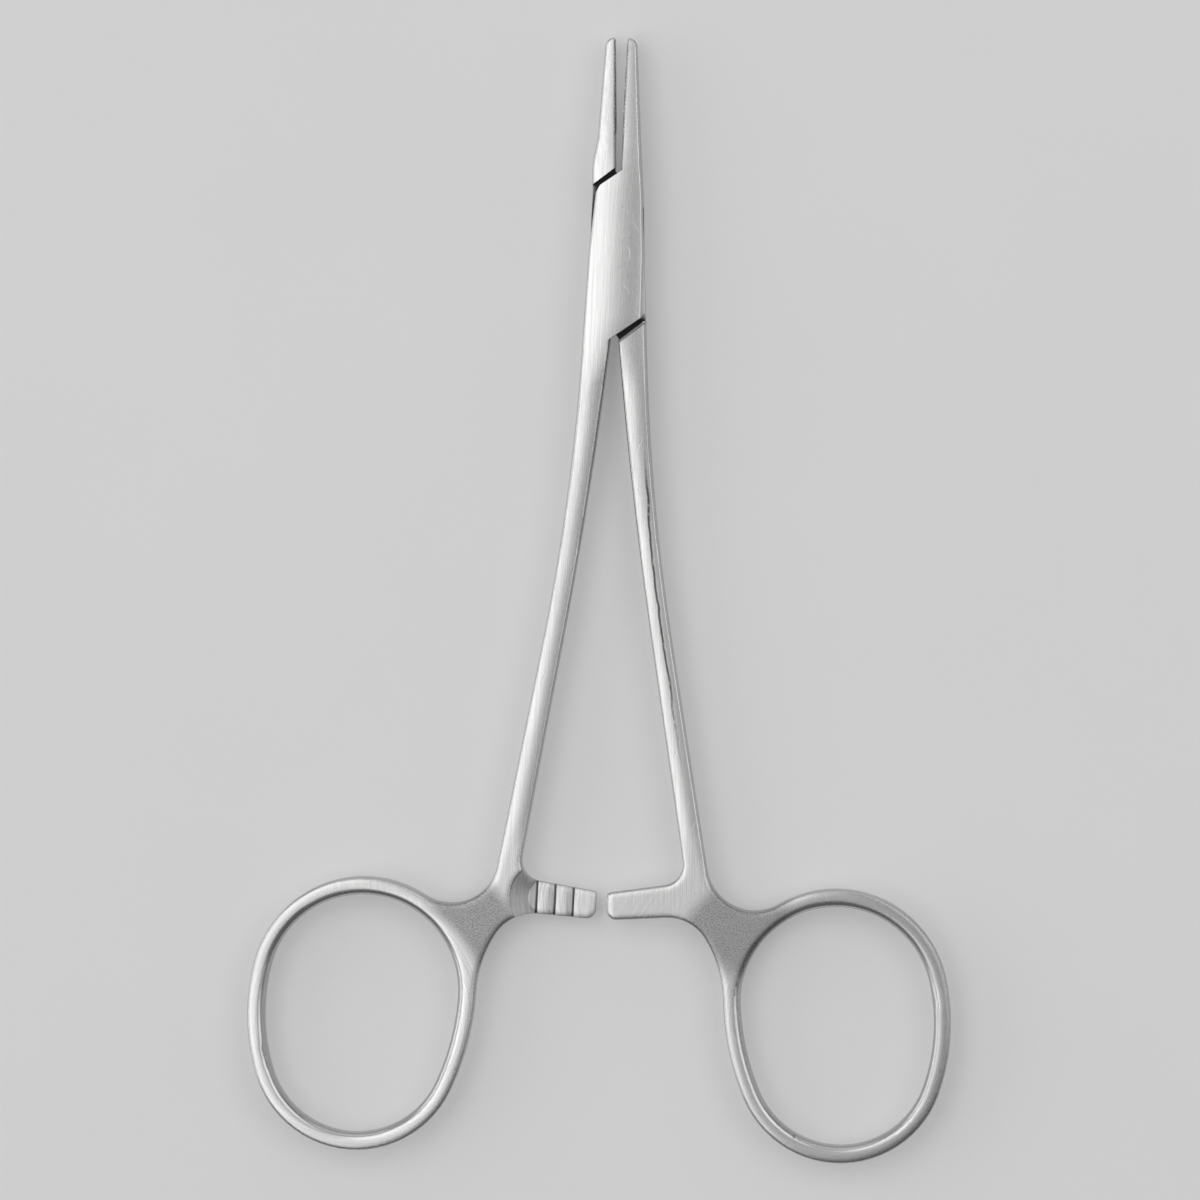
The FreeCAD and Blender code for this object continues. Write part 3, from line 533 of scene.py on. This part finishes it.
class SatinSteel:
    """Ground satin steel with its grain along its half; the rivet's has a hairline rim, not worn edges."""

    def __init__(self, name, half, rim):
        self.half = half
        self.wish = bpy.context.scene.holder_steel
        self.material, self.tree, shader = new_material(name)
        tree = self.tree
        turn_back = -half["turn"]
        hand = half["hand"]
        web_across, web_along, web_start = half["web"]
        self.lines = place_group(
            tree, "Grinding lines", turn_back=turn_back, line_width=self.wish.grain_width,
            ring_centre=(RING_CENTRE[0] * hand, RING_CENTRE[1], 0),
            web_way=(-hand * web_across, web_along, 0), web_start=web_start)
        self.crown = place_group(tree, "Ground crown", turn_back=turn_back, ring_side=float(hand),
                                 slope=self.wish.crown_slope)
        self.marks = place_group(tree, "Handling marks", seed=0.5 + 0.2 * hand)
        self.cutter = place_group(tree, "Cutter lines", turn_back=turn_back, ring_side=float(hand))
        self.lock = place_group(tree, "Inside of the lock", turn_back=turn_back)
        self.place = tree.place()
        self.speckle = tree.noise(self.place, 7000.0, 2.0, 0.6)
        self.upright = tree.split(tree.add("ShaderNodeNewGeometry").outputs["Normal"])[2]
        self.level = tree.math("ABSOLUTE", self.upright)
        grain = tree.math("MULTIPLY_ADD", self.lines["Fine lines"], 0.6,
                          tree.math("MULTIPLY", self.lines["Lines"], 0.4))
        grain = tree.mix(self.lines["Web"], grain, self.speckle)
        self.grain = tree.mix(self.cutter["Mask"], grain, self.cutter["Lines"])

        tree.feed(shader.inputs["Base Color"], self.colour())
        tree.feed(shader.inputs["Roughness"], self.roughness())
        shader.inputs["Metallic"].default_value = 1.0
        height = self.sunk_rim(self.relief()) if rim else self.relief()
        bump = tree.add("ShaderNodeBump", {"Strength": 1.0, "Distance": 1.0, "Height": height})
        if not rim:
            tree.feed(bump.inputs["Normal"], self.worn_edges())
        tree.feed(shader.inputs["Normal"], bump.outputs[0])

    def lay(self, steel, colour, *masks):
        """Lays a colour over the steel, as thickly as all the masks let through."""
        return self.tree.mix_colour(self.tree.product(*masks), steel, colour)

    def dullness(self):
        """How dull the ground steel is: in the grain's hollows, handled places, pits and dents."""
        tree = self.tree
        dull = tree.ramp(self.grain, 0.62, 0.36, 0.0, 0.42)
        dull = tree.math("MULTIPLY_ADD", tree.ramp(self.marks["Cloud"], 0.42, 0.72), 0.16, dull)
        dull = tree.math("MAXIMUM", dull, tree.math("MULTIPLY", self.marks["Pits"], 0.8))
        for x, y in self.half["dents"]:
            distance = tree.vector("DISTANCE", self.place, (x * MM, y * MM, LOCK_THICK))
            dull = tree.math("MULTIPLY_ADD", tree.ramp(distance, *DENT), 0.8, dull)
        return dull

    def colour(self):
        tree = self.tree
        steel = tree.mix_colour(self.dullness(), (*self.wish.colour, 1), (*self.wish.dull_colour, 1))
        matt = tree.mix_colour(tree.ramp(self.speckle, 0.36, 0.62), MATT_HOLLOWS, MATT_POINTS)
        steel = self.lay(steel, matt, self.lines["Web"], 0.9)
        ridges = tree.ramp(self.cutter["Lines"], 0.36, 0.60)
        milled = tree.mix_colour(ridges, MILLED_HOLLOWS, MILLED_RIDGES)
        steel = self.lay(steel, milled, self.cutter["Mask"])
        # painted shade in the gullets of the ratchet teeth
        steel = self.lay(steel, TOOTH_GULLET_SHADE, self.cutter["Gullets"], 0.9)
        # painted shade: the upright sides and steep fillets are painted darker than the front
        steel = self.lay(steel, UPRIGHT_SIDE_SHADE, tree.ramp(self.level, 0.72, 0.40, 0.0, 0.9))
        if self.half["seam"]:
            # painted shade: the right ring's front is painted darker towards its outer limb
            shade = tree.ramp(tree.split(self.place)[0], *RING_SHADE)
            ring = tree.math("SUBTRACT", self.lines["Ring"], self.cutter["Arm"], clamp=True)
            steel = self.lay(steel, OUTER_RING_SHADE, shade, ring, tree.ramp(self.upright, *FRONT_ONLY))
            on_front = tree.ramp(self.upright, 0.5, 0.9, 0.0, 0.95)
            steel = self.lay(steel, SEAM_LINE, self.crown["Seam"], on_front)
        # painted shade along the bevel of the shank's shoulder
        steel = self.lay(steel, SHOULDER_SHADE, self.lock["Shoulder line"], 0.8)
        # painted shade: the steel between the cheeks is painted darker
        steel = self.lay(steel, INSIDE_LOCK_SHADE, self.lock["Mask"])
        # painted shade: a narrow gap is painted near black where ambient occlusion finds it shut in, and
        # an open lock shows its steel
        open_air = tree.add("ShaderNodeAmbientOcclusion", {"Distance": 1.0 * MM}, samples=8)
        gap_shade = tree.ramp(open_air.outputs["AO"], 0.85, 0.60)
        return self.lay(steel, NARROW_GAP_SHADE, self.lock["Mask"], gap_shade)

    def roughness(self):
        tree = self.tree
        hollow = tree.math("SUBTRACT", self.grain, 0.5)
        rough = tree.math("MULTIPLY_ADD", hollow, -0.22, self.wish.gloss_roughness)
        for mask, more in ((self.lock["Mask"], 0.20), (self.marks["Cloud"], 0.05),
                           (self.cutter["Mask"], 0.20), (self.lines["Web"], 0.12)):
            rough = tree.math("MULTIPLY_ADD", mask, more, rough)
        return tree.math("MAXIMUM", rough, 0.12)

    def relief(self):
        """Height of the grain, scratches, pits and crown, in metres."""
        tree = self.tree
        depth = tree.mix(self.lines["Web"], GRAIN_DEPTH, WEB_DEPTH)
        depth = tree.mix(self.cutter["Mask"], depth, CUTTER_DEPTH)
        height = tree.math("MULTIPLY", self.grain, depth)
        height = tree.math("MULTIPLY_ADD", self.marks["Scratches"], -SCRATCH_DEPTH, height)
        height = tree.math("MULTIPLY_ADD", self.marks["Pits"], -PIT_DEPTH, height)
        level_face = tree.ramp(self.level, 0.4, 0.8)
        return tree.math("MULTIPLY_ADD", self.crown["Height"], level_face, height)

    def sunk_rim(self, height):
        """Sinks a hairline at the edge of the rivet's ends."""
        tree = self.tree
        radius = tree.vector("LENGTH", tree.vector("MULTIPLY", self.place, (1, 1, 0)))
        return tree.math("MULTIPLY_ADD", tree.ramp(radius, *RIVET_RIM), -RIM_DEPTH, height)

    def worn_edges(self):
        """Normals that round the edges over: a little everywhere, and softly on the ring."""
        tree = self.tree
        radius = tree.mix(self.cutter["Arm"], WORN_EDGE, WORN_ARM_EDGE)
        edge = tree.add("ShaderNodeBevel", {"Radius": radius}, samples=4).outputs[0]
        pillow = tree.add("ShaderNodeBevel", {"Radius": SOFT_RING_EDGE}, samples=8).outputs[0]
        share = tree.math("MULTIPLY", self.lines["Ring"], 0.5)
        return tree.vector("NORMALIZE", tree.mix(share, edge, pillow, "VECTOR"))


def cut_steel():
    """The cut serrations: painted shade in the grooves, lighter on the points."""
    wish = bpy.context.scene.holder_steel
    material, tree, shader = new_material("cut_steel")
    speckle = tree.noise(tree.place(), 9000.0, 2.0, 0.6)
    points = tree.add("ShaderNodeAttribute", attribute_name="point", attribute_type="GEOMETRY")
    bright = tree.math("MULTIPLY_ADD", speckle, 0.25, tree.ramp(points.outputs["Fac"], 0.15, 0.95))
    groove_shade = (*(0.85 * part for part in wish.dull_colour), 1)
    tree.feed(shader.inputs["Base Color"], tree.mix_colour(bright, groove_shade, (*wish.colour, 1)))
    tree.feed(shader.inputs["Roughness"], tree.math("MULTIPLY_ADD", bright, -0.14, 0.44))
    shader.inputs["Metallic"].default_value = 1.0
    bump = tree.add("ShaderNodeBump", {
        "Strength": 1.0, "Distance": 1.0, "Height": tree.math("MULTIPLY", speckle, 0.004 * MM)})
    tree.feed(shader.inputs["Normal"], bump.outputs[0])
    return material


# New pieces

def add_mesh(name, mesh):
    """A new object that takes over a bmesh."""
    data = bpy.data.meshes.new(name)
    mesh.to_mesh(data)
    mesh.free()
    piece = bpy.data.objects.new(name, data)
    bpy.context.scene.collection.objects.link(piece)
    return piece


# Serrations

# the skin of serrations: how far it stays short of the tip, how deep its border is sunk into the jaw,
# how high its grooves lie over the plain face, how far it goes down the bevel, and its rising rows
TIP_MARGIN = 0.06 * MM
BORDER_SUNK = 0.02 * MM
GROOVE_LIFT = 0.004 * MM
BEVEL_REACH = JAW_BEVEL * 1.1
RISING_ROWS = 6


def zigzag(value):
    """0 at whole numbers and 1 halfway between them."""
    return 1 - abs(2 * (value % 1.0) - 1)


def flat_half(level):
    """Half the height of the flat gripping face at a level, between its bevels."""
    share = max(0.0, (level - JAW_TAPER) / (JAW_TIP - JAW_TAPER))
    return (LOCK_THICK + (TIP_THICK - LOCK_THICK) * share) / 2 - JAW_BEVEL


def skin_foot(reach, side, flat):
    """Foot of the skin on the jaw, its way outward and its strength, over the flat and the bevel."""
    if reach <= flat:
        return Vector((0, 0, side * reach)), Vector((1, 0, 0)), 1.0
    # over the corner the skin turns down the bevel, and runs out before the bevel's end
    past = min(reach - flat, BEVEL_REACH)
    down = past * math.sqrt(0.5)
    outward = Vector((1, 0, side)).normalized()
    return Vector((-down, 0, side * (flat + down))), outward, max(0.0, 1 - past / BEVEL_REACH)


def jaw_teeth(name, turn, hand, wish):
    """A skin of cross-cut pyramids on one gripping face, over its bevels, with its border sunk in."""
    step = wish.pitch / 4
    rows = int((JAW_TIP - wish.start - TIP_MARGIN) / step)
    columns = int(flat_half(wish.start) / step) + wish.rows_over_bevel
    mesh = bmesh.new()
    layer = mesh.verts.layers.float.new("point")
    grid = {}
    for row in range(rows + 1):
        level = wish.start + row * step
        flat = flat_half(level)
        for column in range(-columns, columns + 1):
            foot, outward, strength = skin_foot(abs(column) * step, math.copysign(1, column), flat)
            # the first rows rise out of the plain face
            rise = min(1.0, row / RISING_ROWS)
            point = min(zigzag((row + column) / 4), zigzag((row - column) / 4))
            lift = (GROOVE_LIFT + wish.height * point * rise) * strength
            if row in (0, rows) or abs(column) == columns:
                lift = -BORDER_SUNK
            place = foot + outward * lift
            vertex = mesh.verts.new((-hand * (JAW_FACE - place.x), level, MIDDLE + place.z))
            vertex[layer] = point * rise
            grid[row, column] = vertex
    for row in range(rows):
        for column in range(-columns, columns):
            near, across = grid[row, column], grid[row, column + 1]
            far, corner = grid[row + 1, column], grid[row + 1, column + 1]
            if (row + column) % 2 == 0:
                mesh.faces.new((near, across, corner))
                mesh.faces.new((near, corner, far))
            else:
                mesh.faces.new((near, across, far))
                mesh.faces.new((across, corner, far))
    bmesh.ops.recalc_face_normals(mesh, faces=mesh.faces)
    if sum(face.normal.x for face in mesh.faces) * hand < 0:
        bmesh.ops.reverse_faces(mesh, faces=mesh.faces)
    bmesh.ops.transform(mesh, matrix=Matrix.Rotation(turn, 4, "Z"), verts=mesh.verts)
    return add_mesh(name, mesh)


# Stage

FLOOR_RADIUS = 3.0
FLOOR_DROP = 0.2 * MM
LIT_WAY = Vector((-0.62, 0.70, 0.30)).normalized()
PANEL_HEIGHT = 1.15
# left, right, near and far edge of each panel overhead, in metres
HIGH_PANELS = {
    "left": (-0.95, -0.09, -0.60, 1.0),
    "top": (-0.09, 0.12, -0.27, 1.0),
    "right": (0.30, 1.25, -0.27, 1.0),
}
# place, target, width and height of each panel that stands beside the part, in metres
LOW_PANELS = {
    "low": ((0.95, -0.05, 0.29), (0, -0.05, 0.02), 1.1, 0.36),
    "edge": ((-1.15, 0.1, 0.45), (0, 0.1, 0.02), 1.5, 0.6),
    "far": ((0, 1.1, 0.34), (0, -0.03, 0.02), 1.3, 0.36),
}
# the camera's aim in millimetres, and its shift to the right and up in picture points
CAMERA_AIM = (-1.6, -36.86, 2.2)
AIM_SHIFT = (-2.444, 0.469)
PICTURE_SIZE = 1200
SENSOR_WIDTH = 36


def add_floor(wish):
    """A round sheet of plain paper."""
    mesh = bmesh.new()
    bmesh.ops.create_circle(mesh, cap_ends=True, segments=96, radius=FLOOR_RADIUS)
    floor = add_mesh("floor", mesh)
    floor.location.z = -FLOOR_DROP
    material, tree, shader = new_material("floor_paper")
    shade = tree.ramp(tree.noise(tree.place(), 30.0, 3.0, 0.6), 0.3, 0.7)
    cloudy = (*(0.985 * part for part in wish.floor_colour), 1)
    tree.feed(shader.inputs["Base Color"], tree.mix_colour(shade, (*wish.floor_colour, 1), cloudy))
    shader.inputs["Roughness"].default_value = 0.9
    shader.inputs["Specular IOR Level"].default_value = 0.2
    rays = tree.add("ShaderNodeLightPath").outputs
    seen = tree.math("MAXIMUM", rays["Is Camera Ray"], tree.math(
        "MAXIMUM", rays["Is Glossy Ray"], rays["Is Transmission Ray"]))
    shader.inputs["Emission Color"].default_value = (1, 1, 1, 1)
    tree.feed(shader.inputs["Emission Strength"], tree.math("MULTIPLY", seen, wish.paper_glow))
    floor.data.materials.append(material)


def add_surroundings(wish):
    """Soft light from all round, brighter from the left and from beyond the tips."""
    world = bpy.data.worlds.new("surroundings")
    world.use_nodes = True
    sky = world.node_tree.nodes["Background"]
    sky.inputs["Color"].default_value = (1, 1, 1, 1)
    tree = Tree(world.node_tree)
    way = tree.add("ShaderNodeTexCoord").outputs["Generated"]
    side = tree.vector("DOT_PRODUCT", way, LIT_WAY)
    tree.feed(sky.inputs["Strength"], tree.ramp(side, -0.25, 0.75, wish.dark_level, wish.lit_level))
    bpy.context.scene.world = world


def add_lamp(name, place, target, width, height, level):
    """A square lamp whose face has a level, where 1 shows as white."""
    data = bpy.data.lights.new(name, "AREA")
    data.shape = "RECTANGLE"
    data.size = width
    data.size_y = height
    data.energy = level * math.pi * width * height
    lamp = bpy.data.objects.new(name, data)
    bpy.context.scene.collection.objects.link(lamp)
    lamp.location = place
    way = Vector(target) - Vector(place)
    lamp.rotation_euler = way.to_track_quat("-Z", "Y").to_euler()


def add_lamps(wish):
    for name, (left, right, near, far) in HIGH_PANELS.items():
        middle = ((left + right) / 2, (near + far) / 2)
        add_lamp(name + "_panel", (*middle, PANEL_HEIGHT), (*middle, 0), right - left, far - near,
                 getattr(wish, name + "_level"))
    for name, panel in LOW_PANELS.items():
        add_lamp(name + "_panel", *panel, getattr(wish, name + "_level"))


def add_camera(wish):
    """The camera, turned with the part's lean in the picture."""
    away = Vector((math.tan(wish.camera_right), math.tan(wish.camera_up), 1)).normalized()
    right = (Vector((1, 0, 0)) - away * away.x).normalized()
    up = away.cross(right)
    shift_right, shift_up = (points / wish.picture_scale for points in AIM_SHIFT)
    aim = (Vector(CAMERA_AIM) + right * shift_right + up * shift_up) * MM
    data = bpy.data.cameras.new("camera")
    data.sensor_width = SENSOR_WIDTH
    data.lens = wish.picture_scale * wish.camera_distance / MM / PICTURE_SIZE * SENSOR_WIDTH
    data.clip_start = 0.05
    data.clip_end = 20
    camera = bpy.data.objects.new("camera", data)
    bpy.context.scene.collection.objects.link(camera)
    lean = Matrix.Rotation(wish.part_lean, 3, "Z")
    turned = lean @ Matrix((right, up, away)).transposed()
    camera.matrix_world = Matrix.LocRotScale(
        lean @ (aim + away * wish.camera_distance), turned.to_quaternion(), None)
    bpy.context.scene.camera = camera


# Operators: one for each piece or group of like pieces, and one for the stage

class HOLDER_OT_satin_halves(bpy.types.Operator):
    """Give both forged halves their satin steel"""
    bl_idname = "holder.satin_halves"
    bl_label = "Satin steel halves"

    def execute(self, context):
        for body, half in HALVES.items():
            steel = SatinSteel("satin_steel_" + body, half, rim=False)
            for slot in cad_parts[half["node"]].material_slots:
                slot.material = steel.material
        return {"FINISHED"}


class HOLDER_OT_rivet(bpy.types.Operator):
    """Give the flush rivet its ground ends"""
    bl_idname = "holder.rivet"
    bl_label = "Ground rivet"

    def execute(self, context):
        steel = SatinSteel("rivet_steel", HALVES["box"], rim=True)
        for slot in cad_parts["pivot_pin"].material_slots:
            slot.material = steel.material
        return {"FINISHED"}


class HOLDER_OT_serrations(bpy.types.Operator):
    """Cut the cross serrations of both gripping faces"""
    bl_idname = "holder.serrations"
    bl_label = "Jaw serrations"

    def execute(self, context):
        steel = cut_steel()
        for body, half in HALVES.items():
            piece = jaw_teeth(body + "_jaw_teeth", half["turn"], half["hand"], context.scene.holder_teeth)
            piece.data.materials.append(steel)
            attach(piece, body)
        return {"FINISHED"}


class HOLDER_OT_stage(bpy.types.Operator):
    """Set up the floor, the lamps and the camera"""
    bl_idname = "holder.stage"
    bl_label = "Stage"

    def execute(self, context):
        wish = context.scene.holder_stage
        add_floor(wish)
        add_surroundings(wish)
        add_lamps(wish)
        add_camera(wish)
        context.scene.view_settings.view_transform = "Standard"
        return {"FINISHED"}


class HOLDER_PT_panel(bpy.types.Panel):
    """Steps and sizes of the needle holder"""
    bl_label = "Needle holder"
    bl_idname = "HOLDER_PT_panel"
    bl_space_type = "VIEW_3D"
    bl_region_type = "UI"
    bl_category = "Needle holder"

    def draw(self, context):
        for label, name, operators in (
                ("Steel", "holder_steel", ("holder.satin_halves", "holder.rivet")),
                ("Serrations", "holder_teeth", ("holder.serrations",)),
                ("Stage", "holder_stage", ("holder.stage",))):
            box = self.layout.box()
            box.label(text=label)
            settings = getattr(context.scene, name)
            for prop in settings.bl_rna.properties:
                if prop.identifier not in ("rna_type", "name"):
                    box.prop(settings, prop.identifier)
            for operator in operators:
                box.operator(operator)


CLASSES = (
    SteelSettings, ToothSettings, StageSettings,
    HOLDER_OT_satin_halves, HOLDER_OT_rivet, HOLDER_OT_serrations, HOLDER_OT_stage,
    HOLDER_PT_panel,
)


def register():
    for cls in CLASSES:
        bpy.utils.register_class(cls)
    bpy.types.Scene.holder_steel = PointerProperty(type=SteelSettings)
    bpy.types.Scene.holder_teeth = PointerProperty(type=ToothSettings)
    bpy.types.Scene.holder_stage = PointerProperty(type=StageSettings)


def unregister():
    for name in ("holder_steel", "holder_teeth", "holder_stage"):
        delattr(bpy.types.Scene, name)
    for cls in reversed(CLASSES):
        bpy.utils.unregister_class(cls)


def main():
    register()
    bpy.ops.holder.satin_halves()
    bpy.ops.holder.rivet()
    bpy.ops.holder.serrations()
    bpy.ops.holder.stage()


if __name__ == "__main__":
    main()
